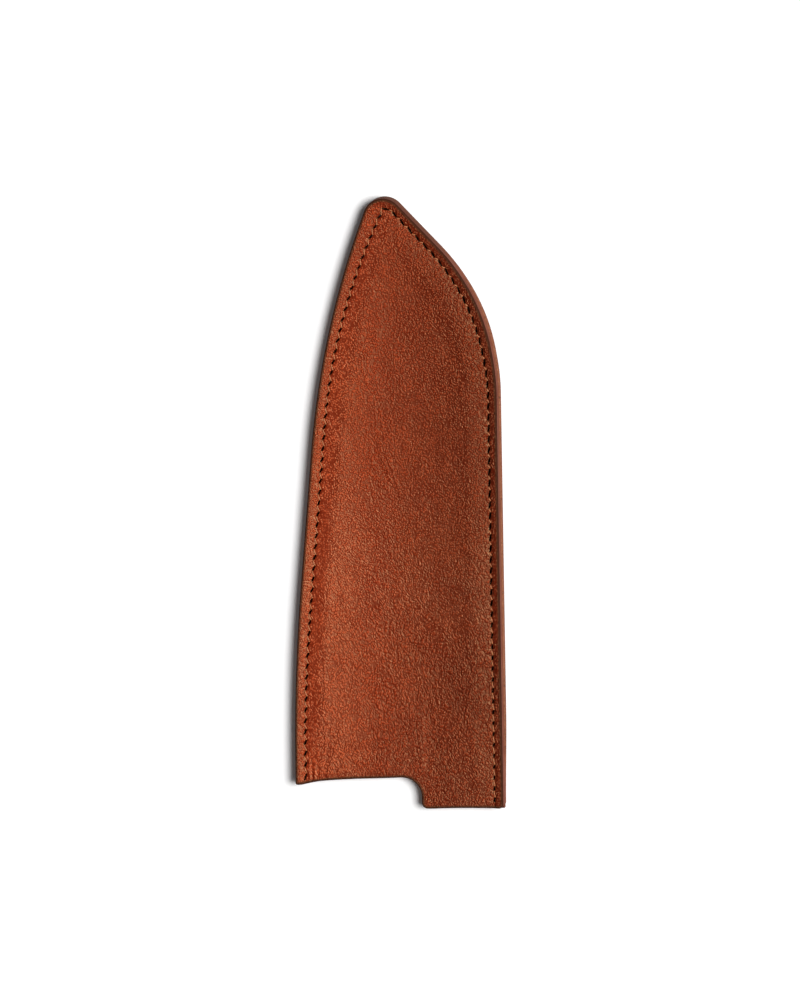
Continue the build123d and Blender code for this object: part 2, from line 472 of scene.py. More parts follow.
# Pocket between the welts, and how far its hollow reaches to each side at a height up the sheath
pocket = side + (welt_width + hollow_margin) * left_normals(side)
kept = measured(pocket, side)[0] > welt_width + hollow_margin - 0.05
pocket = pocket[kept]
pocket_tip = pocket[:, 1].argmax()
pocket_tip_y = pocket[pocket_tip, 1]


def pocket_sides(height):
    """Least and greatest X of the hollow at heights up the sheath."""
    right = pocket[: pocket_tip + 1]
    left = pocket[pocket_tip:][::-1]
    return np.interp(height, left[:, 1], left[:, 0]), np.interp(height, right[:, 1], right[:, 0])


def hollow(points):
    """How deep the front panel sinks between the welts."""
    left, right = pocket_sides(points[:, 1])
    half = np.maximum((right - left) / 2, 0.01)
    share = (points[:, 0] - (left + right) / 2) / half
    widest = sheath_width / 2 - welt_width
    fade = smooth(0, sag_fade_below_tip, pocket_tip_y - points[:, 1])
    above_mouth = np.maximum(mouth_distance(points), 0) / mouth_lift_reach
    fade = fade * (1 - mouth_lift * np.exp(-(above_mouth**2)))
    return sag_depth * fade * np.minimum(half / widest, 1) * np.maximum(1 - share**2, 0)


def rim_drop(distance, radius):
    """How far a rounded edge has dropped at a distance from the outline."""
    inside = np.clip(distance, 0, radius)
    return radius - np.sqrt(np.maximum(radius**2 - (radius - inside) ** 2, 0))


def stitch_phase(along):
    """How many stitches along the seam a place is, and whether it lies between the end holes."""
    phase = np.interp(along, hole_distances, np.arange(len(hole_distances)))
    return phase, (along > hole_distances[0]) & (along < hole_distances[-1])


def thread_side(across, along):
    """Distance from the line that the slits and the strands between them make."""
    phase, sewn = stitch_phase(along)
    swing = np.interp(along, hole_distances, strand_swings)
    return across + sewn * swing * np.sin(2 * math.pi * phase)


def groove_depth(rim, across, along):
    """Depth of the seam's groove. Across is positive towards the outline."""
    width = np.maximum(rim + across - rim_radius, 1.0)
    outer = np.clip(1 - across / width, 0, 1)
    inner = np.clip(1 + across / inner_slope_width, 0, 1)
    past_end = np.maximum(along - hole_distances[-1], hole_distances[0] - along)
    kept = 1 - end_groove_loss * smooth(end_groove_start, end_groove_full, past_end)
    outer_drop = flange_slope_depth * kept * outer**outer_slope_power
    inner_rise = flange_slope_depth * kept - plateau_drop
    inner_drop = plateau_drop + inner_rise * inner**inner_slope_power
    pinch = pinch_depth * kept * np.exp(-((thread_side(across, along) / pinch_width) ** 2))
    return np.where(across > 0, outer_drop, inner_drop) + pinch


def lips(across, along):
    """Leather that swells beside each thread and is drawn down at each slit."""
    phase, sewn = stitch_phase(along)
    between = 0.5 - 0.5 * np.cos(2 * math.pi * phase)
    beside = np.exp(-(((np.abs(thread_side(across, along)) - lip_place) / lip_width) ** 2))
    return sewn * lip_height * beside * (between - lip_level)


def waves(points, count, shortest, longest, seed):
    """Smooth random swell from waves in all directions, about 1 high."""
    source = np.random.default_rng(seed)
    total = np.zeros(len(points))
    for _ in range(count):
        heading = source.uniform(0, 2 * math.pi)
        length = source.uniform(shortest, longest)
        phase = source.uniform(0, 2 * math.pi)
        run = points @ np.array((math.cos(heading), math.sin(heading)))
        total += np.sin(2 * math.pi * run / length + phase)
    return total / math.sqrt(count)


# Soft folds of the front panel, by pixels of the photograph: from, by way of, to, depth and width
middle_creases = [
    ((372, 440), (382, 470), (399, 502), 0.16, 0.9),
    ((376, 444), (387, 466), (396, 494), 0.11, 0.42),
    ((386, 448), (393, 464), (400, 484), 0.11, 0.42),
    ((381, 450), (389, 470), (395, 488), 0.10, 0.4),
    ((371, 452), (378, 470), (385, 492), 0.10, 0.42),
    ((394, 474), (400, 486), (404, 502), 0.10, 0.4),
    ((404, 480), (407, 490), (410, 506), 0.09, 0.4),
    ((375, 400), (378, 418), (380, 438), 0.09, 0.4),
    ((382, 404), (383, 420), (386, 436), 0.08, 0.4),
    ((429, 460), (433, 470), (438, 484), 0.08, 0.4),
    ((366, 478), (370, 492), (373, 508), 0.08, 0.4),
]
upper_folds = [
    ((386, 400), (384, 344), (412, 324), 0.12, 2.4),
    ((412, 324), (442, 332), (448, 372), 0.12, 2.4),
]
mouth_corner_folds = [
    ((313, 783), (312, 775), (313, 766), 0.32, 0.4),
    ((310, 774), (311, 768), (313, 761), 0.26, 0.36),
    ((318, 782), (318, 774), (319, 762), 0.24, 0.6),
    ((324, 782), (325, 770), (329, 752), 0.20, 0.9),
    ((302, 784), (303, 779), (304, 773), 0.30, 0.5),
]
side_folds = [
    ((330, 560), (338, 600), (332, 650), 0.10, 2.2),
    ((452, 436), (458, 480), (452, 520), 0.08, 2.6),
]
folds = middle_creases + upper_folds + mouth_corner_folds + side_folds


def fold_line(start, middle, end, count=24):
    """Points of a bent line on the leather through three pixels of the photograph."""
    first, control, last = (np.array(on_leather(pixel)) for pixel in (start, middle, end))
    control = 2 * control - (first + last) / 2
    share = np.linspace(0, 1, count)[:, None]
    return (1 - share) ** 2 * first + 2 * share * (1 - share) * control + share**2 * last


def folded(points):
    """Depth of the soft folds."""
    depth = np.zeros(len(points))
    for start, middle, end, fold_depth, width in folds:
        line = fold_line(start, middle, end)
        low = line.min(0) - 3 * width
        high = line.max(0) + 3 * width
        near = np.flatnonzero(((points > low) & (points < high)).all(1))
        across, along = measured(points[near], line)
        length = lengths_along(line)[-1]
        taper = np.sin(math.pi * np.clip(along / length, 0.02, 0.98)) ** 0.6
        across = across / width
        shoulders = np.exp(-((np.abs(across) - fold_shoulder_place) ** 2))
        depth[near] += fold_depth * taper * (np.exp(-(across**2)) - fold_shoulder * shoulders)
    return depth


def mouth_distance(points):
    """Height above the mouth's cut."""
    cut = spine_mouth_y + mouth_rise * (points[:, 0] - spine_x)
    return points[:, 1] - np.where(points[:, 0] < tab_x + 1, cut, heel_y)


def mouth_waves(points):
    """Gentle waves of the front panel at the open mouth."""
    x = points[:, 0]
    fade = np.exp(-np.maximum(mouth_distance(points), 0) / mouth_wave_reach)
    swing = np.sin(2 * math.pi * (x + mouth_wave_start) / mouth_wave_length)
    inside = smooth(spine_x + 4, spine_x + 12, x) * smooth(edge_x - 5, edge_x - 14, x)
    return mouth_wave_depth * fade * swing * inside


def lowered(places):
    """Both panels reach down a little further round the notch's corner."""
    moved = places.copy()
    up = smooth(notch_drop_height, 0, mouth_distance(places))
    beside = (places[:, 0] - notch_drop_x) / notch_drop_width
    moved[:, 1] -= notch_drop * up * np.exp(-(beside**2))
    return moved


def sagged(places):
    """The leather hangs down a little at the mouth's corner beside the spine."""
    past = np.hypot(places[:, 0] - spine_x - corner_sag_inset, places[:, 1] - spine_mouth_y)
    moved = lowered(places)
    moved[:, 1] -= corner_sag * np.exp(-((past / corner_sag_reach) ** 2))
    return moved


def flared(places):
    """The back panel stands a little proud of the welt along the cutting edge's side."""
    rim = np.abs(measured(places[:, :2], closed_outline)[0])
    x, y = places[:, 0], places[:, 1]
    reach = smooth(0, 10, x) * smooth(heel_y, heel_y + flare_above_heel, y)
    reach = reach * smooth(flare_fade_high, flare_fade_low, y)
    moved = lowered(places)
    moved[:, 0] += back_flare * (1 - smooth(0, flare_reach, rim)) * reach
    return moved


def front_face(points):
    """Height of the front panel's outer face, and what its material asks for at each point."""
    rim = np.abs(measured(points, closed_outline)[0])
    across, along = measured(points, seam)
    groove = groove_depth(rim, across, along)
    swell = broad_swell * waves(points, count=9, shortest=9, longest=30, seed=3)
    swell += small_swell * waves(points, count=9, shortest=4, longest=9, seed=4)
    calm = smooth(0.4, 6.0, rim)
    height = front_top + rim_raise - rim_drop(rim, rim_radius) - groove - hollow(points)
    height += lips(across, along) * smooth(0.2, 1.0, rim)
    height += calm * swell - folded(points) * smooth(0.0, 0.8, rim)
    height += mouth_waves(points) * smooth(0, 1.0, rim) * mouth_wave_share
    return height, {"rim": rim, "across": across}


def back_face(points):
    """The same for the back panel's outer face, which lies on the table."""
    rim = np.abs(measured(points, closed_outline)[0])
    across = measured(points, seam)[0]
    beyond = smooth(back_groove_reach / 2, back_groove_reach, np.abs(across))
    height = rim_drop(rim, rim_radius) + back_groove_depth * (1 - beyond)
    return height, {"rim": rim, "across": across}


def inside_outline(points, margin):
    """Which points lie inside the outline, at least a margin from it."""
    side_distance = measured(points, closed_outline)[0]
    return side_distance > margin


def slit_clear(points, grow):
    """Which points are clear of every slit."""
    across, along = measured(points, seam)
    near = np.abs(across) < 2.5
    past_slit, across_slit = slit_distance(points, along)
    blocked = (past_slit < grow) & (np.abs(across_slit) < slit_width / 2 + grow)
    return ~(near & blocked)


def seam_points(step, reach_in, reach_out):
    """Rows of points beside the seam line."""
    count = int(seam_lengths[-1] / step)
    distances = np.linspace(0, seam_lengths[-1], count)
    points, along = on_seam(distances)
    left = np.column_stack((-along[:, 1], along[:, 0]))
    rows = [points + offset * left for offset in np.arange(-reach_in, reach_out + step / 2, step)]
    return np.vstack(rows)


def field_points(step, margin):
    """Evenly scattered points inside the outline and clear of the seam's rows."""
    across = np.arange(spine_x, edge_x, step)
    up = np.arange(heel_y, back_high.y, step * 0.87)
    grid_x, grid_y = np.meshgrid(across, up)
    grid_x[::2] += step / 2
    points = np.column_stack((grid_x.ravel(), grid_y.ravel()))
    points += rng.uniform(-0.12, 0.12, points.shape) * step
    points = points[inside_outline(points, rim_margin)]
    seam_side = measured(points, seam)[0]
    return points[(seam_side < -margin) | (seam_side > seam_reach + step / 2)]


def rim_points(distances):
    """Rows of points just inside the outline."""
    loop = np.vstack((outline[-1:], outline, outline[:1]))
    inward = left_normals(loop)[1:-1]
    return np.vstack([outline + distance * inward for distance in distances])


def slit_points():
    """Fine rows of points round each slit."""
    rows = []
    for number in range(len(slit_middles)):
        for grow, count in slit_rows:
            rows.append(slit_loop(number, grow, count))
    return np.vstack(rows)


def triangulated(loops, points):
    """Triangles over the first loop with the other loops left open, and all their points."""
    coords = []
    edges = []
    for loop in loops:
        first = len(coords)
        coords += [Vector(point) for point in loop]
        edges += [(first + k, first + (k + 1) % len(loop)) for k in range(len(loop))]
    fixed = len(coords)
    coords += [Vector(point) for point in points]
    found, _, faces, sources, _, _ = delaunay_2d_cdt(coords, edges, [], 1, 1e-7, True)
    places = np.array([tuple(point) for point in found])
    owner = np.full(len(places), -1)
    for index, source in enumerate(sources):
        for number in source:
            if number < fixed:
                owner[index] = number
    faces = np.array(faces)
    hole_of = np.full(fixed + 1, -1)
    first = len(loops[0])
    for number, loop in enumerate(loops[1:]):
        hole_of[first : first + len(loop)] = number
        first += len(loop)
    holes = hole_of[owner[faces]]
    open_face = (holes[:, 0] >= 0) & (holes[:, 0] == holes[:, 1]) & (holes[:, 1] == holes[:, 2])
    on_rim = ((owner[faces] >= 0) & (owner[faces] < len(loops[0]))).all(1)
    middles = places[faces].mean(1)
    closed = np.vstack((loops[0], loops[0][:1]))
    outside = np.zeros(len(faces), bool)
    outside[on_rim] = measured(middles[on_rim], closed)[0] < 0
    order = np.full(fixed, -1)
    order[owner[owner >= 0]] = np.flatnonzero(owner >= 0)
    return places, faces[~(open_face | outside)], order


def placed(name, data):
    """Object in the scene for a mesh, a lamp or a camera."""
    piece = bpy.data.objects.new(name, data)
    bpy.context.scene.collection.objects.link(piece)
    return piece


class Skin:
    """Vertices, faces and per-vertex values of a piece while it is put together."""

    def __init__(self):
        self.places = []
        self.faces = []
        self.values = []
        self.slots = []
        self.count = 0

    def add(self, places, faces, values):
        first = self.count
        self.places.append(np.asarray(places, float))
        self.faces += [tuple(int(first + index) for index in face) for face in faces]
        self.values.append(values)
        self.count += len(places)
        return first

    def bridge(self, loop_a, loop_b):
        """Closes the band between two loops of vertices that already exist."""
        count = len(loop_a)
        for k in range(count):
            after = (k + 1) % count
            corners = (loop_a[k], loop_a[after], loop_b[after], loop_b[k])
            self.faces.append(tuple(int(index) for index in corners))

    def joined(self, key):
        """One value for every vertex so far."""
        pairs = zip(self.values, self.places)
        return np.concatenate([np.broadcast_to(some[key], len(at)) for some, at in pairs])

    def mark_edge(self, limit):
        """Gives the faces within a distance of the outline the second material."""
        rim = self.joined("rim")
        self.slots = [int(all(rim[index] < limit for index in face)) for face in self.faces]

    def mesh(self, name):
        data = bpy.data.meshes.new(name)
        places = np.vstack(self.places) * MM
        data.from_pydata(places.tolist(), [], self.faces)
        data.update()
        for key in self.values[0]:
            layer = data.attributes.new(key, "FLOAT", "POINT")
            layer.data.foreach_set("value", self.joined(key).astype(np.float32))
        data.polygons.foreach_set("use_smooth", np.ones(len(data.polygons), bool))
        if self.slots:
            data.polygons.foreach_set("material_index", self.slots)
        return placed(name, data)


def surface_values(rim, across, outer=0.0, flesh=0.0, hole=0.0):
    """Per-vertex values that the leather's material reads."""
    return {"rim": rim, "across": across, "outer": outer, "flesh": flesh, "hole": hole}


def face_points():
    """Mesh points of a detailed face: rows beside the seam, the rim and the slits, and a field."""
    rows = seam_points(seam_step, seam_reach_in, seam_reach)
    rows = rows[inside_outline(rows, rim_margin)]
    rows = rows[slit_clear(rows, slit_margin)]
    field = field_points(field_step, field_margin)
    return np.vstack((rows, rim_points(rim_rows), slit_points(), field))


def slit_edges(places, order):
    """1 at the vertices on a slit's edge, 0 elsewhere."""
    result = np.zeros(len(places))
    result[order[len(outline) :]] = 1.0
    return result


def panel(name, face_height, inner_height, outward):
    """Leather panel: a detailed outer face, a plain inner face, walls, and walls down its slits."""
    slits = [slit_loop(number) for number in range(len(slit_middles))]
    loops = [outline, *slits]
    skin = Skin()

    def face(places, heights, faces, up, values):
        turned_faces = faces if up > 0 else faces[:, ::-1]
        return skin.add(np.column_stack((places, heights)), turned_faces, values)

    def join(upper, lower):
        if outward < 0:
            upper, lower = lower, upper
        skin.bridge(upper, lower)

    places, faces, order = triangulated(loops, face_points())
    height, values = face_height(places)
    values = surface_values(**values, outer=1.0, hole=slit_edges(places, order))
    outer = face(places, height, faces, outward, values)
    plain, plain_faces, plain_order = triangulated(loops, field_points(plain_step, field_margin))
    plain_z = inner_height(plain)
    plain_rim = np.full(len(plain), far_away)
    plain_rim[plain_order[: len(outline)]] = 0.0
    values = surface_values(plain_rim, far_away, flesh=1.0, hole=slit_edges(plain, plain_order))
    inner = face(plain, plain_z, plain_faces, -outward, values)

    # Wall round the outline
    loop = outer + order[: len(outline)]
    top_z = height[order[: len(outline)]]
    bottom_z = plain_z[plain_order[: len(outline)]]
    inward = left_normals(np.vstack((outline[-1:], outline, outline[:1])))[1:-1]
    for share in wall_rings:
        bulge = wall_bulge * (1 - (2 * share - 1) ** 2) - wall_bulge
        ring = outline - bulge * inward
        ring_z = top_z + (bottom_z - top_z) * share
        first = skin.add(np.column_stack((ring, ring_z)), [], surface_values(0.0, far_away))
        ring_loop = first + np.arange(len(outline))
        join(ring_loop, loop)
        loop = ring_loop
    join(inner + plain_order[: len(outline)], loop)

    # Walls down the slits
    start = len(outline)
    for slit in slits:
        indices = np.arange(start, start + len(slit))
        start += len(slit)
        join(outer + order[indices], inner + plain_order[indices])
    shaped = sagged if outward > 0 else flared
    skin.places = [shaped(some) for some in skin.places]
    skin.mark_edge(edge_band)
    return skin.mesh(name)


def front_inner(points):
    """Height of the front panel's underside, which follows the hollow of its face."""
    return front_bottom - hollow(points)


def back_inner(points):
    return np.full(len(points), back_top)


class Nodes:
    """Short ways to add nodes to a material's tree."""

    def __init__(self, name):
        self.material = bpy.data.materials.new(name)
        self.material.use_nodes = True
        self.tree = self.material.node_tree
        self.shader = self.tree.nodes["Principled BSDF"]

    def put(self, socket, value):
        if isinstance(value, bpy.types.NodeSocket):
            self.tree.links.new(value, socket)
        else:
            socket.default_value = value

    def add(self, kind, inputs=(), output=0, **settings):
        node = self.tree.nodes.new("ShaderNode" + kind)
        for key, value in settings.items():
            setattr(node, key, value)
        for key, value in dict(inputs).items():
            self.put(node.inputs[key], value)
        return node.outputs[output]

    def math(self, operation, first, second=0.0, third=0.0):
        return self.add("Math", {0: first, 1: second, 2: third}, operation=operation)

    def ramp(self, value, low, high, start=0.0, end=1.0):
        inputs = {"Value": value, "From Min": low, "From Max": high, "To Min": start, "To Max": end}
        return self.add("MapRange", inputs, interpolation_type="SMOOTHSTEP")

    def mix(self, share, first, second, blend="MIX"):
        inputs = {0: share, 6: first, 7: second}
        return self.add("Mix", inputs, output=2, data_type="RGBA", blend_type=blend)

    def attribute(self, name):
        return self.add("Attribute", output=2, attribute_name=name)

    def axes(self, place):
        """Sockets of a place's X, Y and Z."""
        node = self.tree.nodes.new("ShaderNodeSeparateXYZ")
        self.put(node.inputs["Vector"], place)
        return node.outputs

    def between(self, share, first, second):
        """Number on the way from one to another."""
        return self.math("MULTIPLY_ADD", self.math("SUBTRACT", second, first), share, first)

    def pebbles(self, place, degrees, scale):
        """Small raised cells of leather grain, their length turned by an angle."""
        angle = math.radians(degrees)
        leaned = self.add("VectorRotate", {"Vector": place, "Angle": angle}, rotation_type="Z_AXIS")
        leaned = self.add("Mapping", {"Vector": leaned, "Scale": scale})
        inputs = {"Vector": leaned, "Scale": 1.0, "Smoothness": 0.3}
        cells = self.add("TexVoronoi", inputs, feature="SMOOTH_F1")
        return self.ramp(cells, 0.12, 0.72, 1.0, 0.0)

    def noise(self, place, scale, detail=3.0, roughness=0.5):
        inputs = {"Vector": place, "Scale": scale, "Detail": detail, "Roughness": roughness}
        return self.add("TexNoise", inputs)


def leather(name, base, light, dark, rim_dye, grain_depth):
    """Brown grained leather: pebbled grain, a net of creases, mottled colour and a dyed rim, with
    painted light and shade across it, a painted highlight at the spine side and painted shade in
    the slits.
    """
    nodes = Nodes(name)
    coords = nodes.add("TexCoord", output="Object")
    inputs = {"Vector": coords, "Scale": 600.0, "Detail": 2.0}
    wobble = nodes.add("TexNoise", inputs, output="Color")
    shift = nodes.add("VectorMath", {0: wobble, 1: (0.5, 0.5, 0.5)}, operation="SUBTRACT")
    shift = nodes.add("VectorMath", {0: shift, "Scale": 0.0006}, operation="SCALE")
    bent = nodes.add("VectorMath", {0: coords, 1: shift}, operation="ADD")
    fine = nodes.noise(coords, 3600.0, 3.0, 0.6)
    middle = nodes.noise(coords, 420.0, 4.0, 0.6)
    broad = nodes.noise(coords, 70.0, 3.0, 0.55)
    place = nodes.axes(coords)
    rim = nodes.attribute("rim")
    across = nodes.attribute("across")

    # Round pebbles high on the sheath, and pebbles that lean both ways low on it
    pebble = nodes.pebbles(bent, 0.0, (1750.0, 1650.0, 1700.0))
    one_way = nodes.pebbles(bent, 27.0, (1950.0, 1150.0, 1500.0))
    other_way = nodes.pebbles(bent, -31.0, (1950.0, 1150.0, 1500.0))
    ways = nodes.ramp(nodes.noise(coords, 190.0, 2.0, 0.5), 0.44, 0.56)
    leaning = nodes.between(ways, one_way, other_way)
    low_part = nodes.ramp(nodes.math("MULTIPLY_ADD", broad, 0.06, place["Y"]), 0.05, -0.03)
    pebble = nodes.between(low_part, pebble, leaning)
    net = nodes.add("Mapping", {"Vector": bent, "Scale": (620.0, 420.0, 620.0)})
    net = nodes.add("TexVoronoi", {"Vector": net, "Scale": 1.0}, feature="DISTANCE_TO_EDGE")
    net = nodes.ramp(net, 0.0, 0.14, 1.0, 0.0)
    patches = nodes.ramp(nodes.noise(coords, 45.0, 2.0, 0.5), 0.42, 0.6)
    net = nodes.math("MULTIPLY", net, nodes.math("MULTIPLY", patches, low_part))

    height = nodes.math("MULTIPLY_ADD", fine, 0.3, pebble)
    height = nodes.math("MULTIPLY_ADD", middle, 0.45, height)
    height = nodes.math("MULTIPLY_ADD", net, -0.5, height)

    # The strip just inside the spine side's stitches is smoother, and pebbles on that side get a
    # painted highlight on their tops
    left_side = nodes.ramp(place["X"], -0.01, 0.0, 1.0, 0.0)
    band = nodes.math("MULTIPLY", left_side, nodes.ramp(across, -5.5, -3.5))
    band = nodes.math("MULTIPLY", band, nodes.ramp(across, 0.0, -0.4))
    calm = nodes.math("MULTIPLY_ADD", band, -0.5, 1.0)
    bump = nodes.add("Bump", {"Height": height, "Strength": calm, "Distance": grain_depth * MM})

    colour = nodes.mix(nodes.ramp(broad, 0.3, 0.7), base, light)
    valley = nodes.math("MULTIPLY", nodes.ramp(pebble, 0.85, 0.2), 0.85)
    colour = nodes.mix(valley, colour, dark)
    colour = nodes.mix(nodes.math("MULTIPLY", net, 0.35), colour, dark)
    colour = nodes.mix(nodes.ramp(middle, 0.62, 0.4, 0.0, 0.3), colour, dark)
    # Painted highlight on the pebbles' tops at the spine side, where the slopes face the light
    painted_highlight_share = nodes.ramp(place["X"], -0.006, -0.02, 0.0, 0.42)
    painted_highlight_share = nodes.math("MULTIPLY", painted_highlight_share, calm)
    colour = nodes.mix(nodes.math("MULTIPLY", painted_highlight_share, pebble), colour, painted_highlight_colour)

    # Painted light and shade: paler at the spine side, whose slopes face the light, and deeper at
    # the other. The slopes and lamps give only part of that change, so the rest is painted in here,
    # fitted to the photograph under its light
    painted_side_light = nodes.ramp(place["X"], -0.028, 0.029, 1.22, 0.7)
    colour = nodes.add("VectorMath", {0: colour, "Scale": painted_side_light}, operation="SCALE")

    # Darker towards the outline, rim dye, flesh side, and painted shade in the slits
    # Darker within about 2.8 mm of the outline
    colour = nodes.mix(nodes.ramp(rim, 2.8, 1.0, 0.0, 0.4), colour, dark)
    ragged = nodes.math("MULTIPLY_ADD", middle, 0.4, -0.2)
    dyed = nodes.ramp(nodes.math("ADD", rim, ragged), 1.15, 0.5)
    colour = nodes.mix(dyed, colour, rim_dye)
    colour = nodes.mix(nodes.attribute("flesh"), colour, flesh_colour)
    # Painted shade: the slits' edges and walls are painted nearly black
    colour = nodes.mix(nodes.attribute("hole"), colour, painted_slit_shade)

    nodes.put(nodes.shader.inputs["Base Color"], colour)
    nodes.put(nodes.shader.inputs["Normal"], bump)
    roughness = nodes.ramp(middle, 0.3, 0.7, 0.38, 0.48)
    nodes.put(nodes.shader.inputs["Roughness"], nodes.math("MULTIPLY_ADD", dyed, 0.4, roughness))
    nodes.shader.inputs["Specular IOR Level"].default_value = 1.0
    nodes.shader.inputs["Specular Tint"].default_value = (1.0, 0.58, 0.29, 1.0)
    return nodes.material


def edge_leather(name, light, dark, painted_tip_shade, rim_dye):
    """Cut edge of the leather: layers of fibre, glue lines, a dyed corner, and painted shade on the
    wall round the tip.
    """
    nodes = Nodes(name)
    coords = nodes.add("TexCoord", output="Object")
    layered = nodes.add("Mapping", {"Vector": coords, "Scale": (110.0, 110.0, 1500.0)})
    fibres = nodes.noise(layered, 1.0, 3.0, 0.6)
    specks = nodes.noise(coords, 1500.0, 3.0, 0.6)
    place = nodes.axes(coords)
    colour = nodes.mix(nodes.ramp(fibres, 0.35, 0.65), dark, light)
    colour = nodes.mix(nodes.ramp(specks, 0.6, 0.4, 0.0, 0.4), colour, dark)
    for joint in (back_top, front_bottom):
        gap = nodes.math("ABSOLUTE", nodes.math("SUBTRACT", place["Z"], joint * MM))
        colour = nodes.mix(nodes.ramp(gap, 0.00025, 0.0, 0.0, 0.75), colour, rim_dye)
    # Painted shade on the wall round the tip, less of it towards the right, where light falls
    tip_part = nodes.ramp(place["Y"], 0.066, 0.085, 0.0, 0.9)
    right_part = nodes.ramp(place["X"], 0.006, 0.022, 1.0, 0.5)
    colour = nodes.mix(nodes.math("MULTIPLY", tip_part, right_part), colour, painted_tip_shade)
    colour = nodes.mix(nodes.ramp(nodes.attribute("outer"), 0.4, 0.95), colour, rim_dye)
    bump = nodes.math("MULTIPLY_ADD", specks, 0.6, fibres)
    bump = nodes.add("Bump", {"Height": bump, "Strength": 0.7, "Distance": 0.06 * MM})
    nodes.put(nodes.shader.inputs["Base Color"], colour)
    nodes.put(nodes.shader.inputs["Normal"], bump)
    nodes.put(nodes.shader.inputs["Roughness"], nodes.ramp(specks, 0.3, 0.7, 0.55, 0.75))
    nodes.shader.inputs["Specular IOR Level"].default_value = 0.06
    return nodes.material


def finished(piece, node, slot, *materials):
    """Makes a piece stand for its CAD node: gives it its materials, attaches it to the root body
    and hides the node.
    """
    for material in materials:
        piece.data.materials.append(material)
    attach(piece, "root")
    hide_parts(node)
    return piece


face_leather = leather(
    "face leather",
    base=(0.345, 0.03, 0.0055, 1.0),
    light=(0.43, 0.046, 0.009, 1.0),
    dark=(0.135, 0.008, 0.001, 1.0),
    rim_dye=(0.04, 0.008, 0.003, 1.0),
    grain_depth=0.24,
)
cut_leather = edge_leather(
    "cut leather",
    light=(0.3, 0.1, 0.056, 1.0),
    dark=(0.19, 0.045, 0.022, 1.0),
    # Painted shade on the wall round the tip
    painted_tip_shade=(0.13, 0.035, 0.014, 1.0),
    rim_dye=(0.05, 0.012, 0.005, 1.0),
)
front = panel("front_leather", front_face, front_inner, 1)
finished(front, "front_panel", "leather", face_leather, cut_leather)
back = panel("back_leather", back_face, back_inner, -1)
finished(back, "back_panel", "leather", face_leather, cut_leather)


# Thread of the saddle stitch
thread_swell = 0.04
thread_radius = thread_size / 2 + thread_swell
twist_length = 1.5
strand_z = front_top - front_groove_depth + thread_gap + thread_radius
back_start_z = back_groove_depth - thread_gap - thread_radius
back_end_z = thread_gap + thread_radius


def thread_route(starts_in_front):
    """Corners of one thread: front and back by turns, through every slit."""
    near = slit_middles - strand_halves[:, None] * slit_directions
    far = slit_middles + strand_halves[:, None] * slit_directions
    points = []
    in_front = starts_in_front
    for number in range(len(slit_middles)):
        if in_front:
            if number:
                points.append((*(far[number - 1] + near[number]) / 2, strand_z + strand_arch))
            points.append((*near[number], strand_z))
            points.append((*near[number], back_start_z))
        else:
            points.append((*far[number], back_end_z))
            points.append((*far[number], strand_z))
        in_front = not in_front
    points[0] = (*points[0][:2], front_top / 2)
    points[-1] = (*points[-1][:2], front_top / 2)
    return np.array(points)


def eased(points, reach=0.34, count=5):
    """The route with its corners bent, and its long runs divided."""
    result = [points[0]]
    for before, corner, after in zip(points, points[1:], points[2:]):
        run_in = before - corner
        run_out = after - corner
        length_in = np.linalg.norm(run_in)
        length_out = np.linalg.norm(run_out)
        start = corner + run_in * min(reach / length_in, 0.45)
        end = corner + run_out * min(reach / length_out, 0.45)
        for share in np.linspace(0, 1, count):
            bend = (1 - share) ** 2 * start + 2 * share * (1 - share) * corner
            result.append(bend + share**2 * end)
    result.append(points[-1])
    return spaced(result, thread_step)


def strand(name, route, sides=12, lobes=3):
    """Twisted thread along a route."""
    tangents = np.gradient(route, axis=0)
    tangents /= np.linalg.norm(tangents, axis=1)[:, None]
    along = lengths_along(route)
    side_vector = np.array((0.3, 0.8, 0.1))
    angles = np.linspace(0, 2 * math.pi, sides, endpoint=False)
    places = []
    for centre, tangent, distance in zip(route, tangents, along):
        side_vector = side_vector - tangent * (side_vector @ tangent)
        side_vector /= np.linalg.norm(side_vector)
        other = np.cross(tangent, side_vector)
        twist = angles + 2 * math.pi * distance / twist_length
        reach = thread_radius * (0.88 + 0.12 * np.cos(lobes * angles))
        ring = np.cos(twist)[:, None] * side_vector + np.sin(twist)[:, None] * other
        places.append(centre + reach[:, None] * ring)
    places = np.vstack(places)
    skin = Skin()
    skin.add(places, [], {})
    for number in range(len(route) - 1):
        lower = number * sides + np.arange(sides)
        skin.bridge(lower, lower + sides)
    skin.faces.append(tuple(range(sides))[::-1])
    skin.faces.append(tuple((len(route) - 1) * sides + k for k in range(sides)))
    return skin.mesh(name)


def thread_material():
    """Waxed linen thread."""
    nodes = Nodes("thread")
    coords = nodes.add("TexCoord", output="Object")
    fibres = nodes.noise(coords, 4200.0, 4.0, 0.6)
    colour = nodes.mix(nodes.ramp(fibres, 0.35, 0.7), thread_dark, thread_light)
    nodes.put(nodes.shader.inputs["Base Color"], colour)
    bump = nodes.add("Bump", {"Height": fibres, "Strength": 0.5, "Distance": 0.03 * MM})
    nodes.put(nodes.shader.inputs["Normal"], bump)
    nodes.shader.inputs["Roughness"].default_value = 0.55
    return nodes.material


waxed = thread_material()
for name, starts_in_front in (("first_thread", False), ("second_thread", True)):
    piece = strand(name + "_strand", eased(thread_route(starts_in_front)))
    finished(piece, name, "thread", waxed)


# Welts keep their CAD shape
for node in ("spine_welt", "edge_welt"):
    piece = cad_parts[node]
    piece.data.materials.clear()
    piece.data.materials.append(cut_leather)


